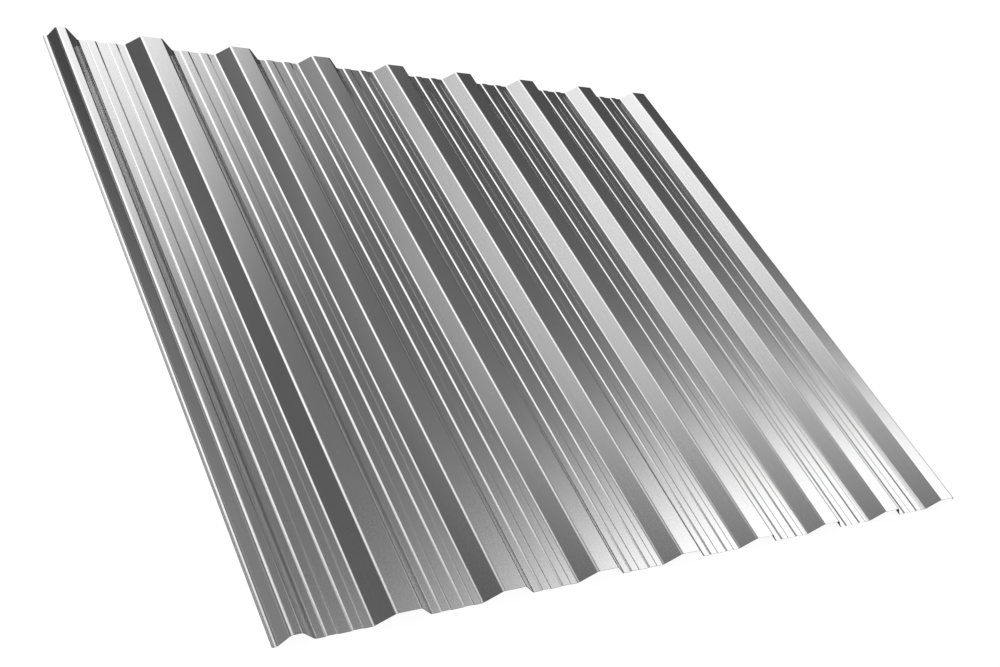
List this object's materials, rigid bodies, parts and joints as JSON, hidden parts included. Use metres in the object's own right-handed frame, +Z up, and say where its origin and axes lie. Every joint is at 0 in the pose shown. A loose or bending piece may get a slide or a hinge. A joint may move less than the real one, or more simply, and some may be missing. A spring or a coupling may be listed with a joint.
{
  "type": "corrugated metal sheet",
  "caption": "Rectangular sheet of zinc-coated steel rolled into flat-topped trapezoidal ribs, with shallow swages in its troughs and lapping side ribs.",
  "frame": {"origin": "middle of the sheet's bounding box, on the plane that the undersides of its troughs rest on", "axes": "+X across the ribs from the narrow lap rib to the full-width last rib, +Y along the ribs, +Z up out of the crests"},
  "size_m": [1.1334, 0.96, 0.019],
  "materials": {
    "zinc_coated_steel": "smooth zinc coating, satin, fine rolled grain along the ribs"
  },
  "bodies": {
    "root": {"profiled_sheet": "zinc_coated_steel"}
  },
  "joints": []
}
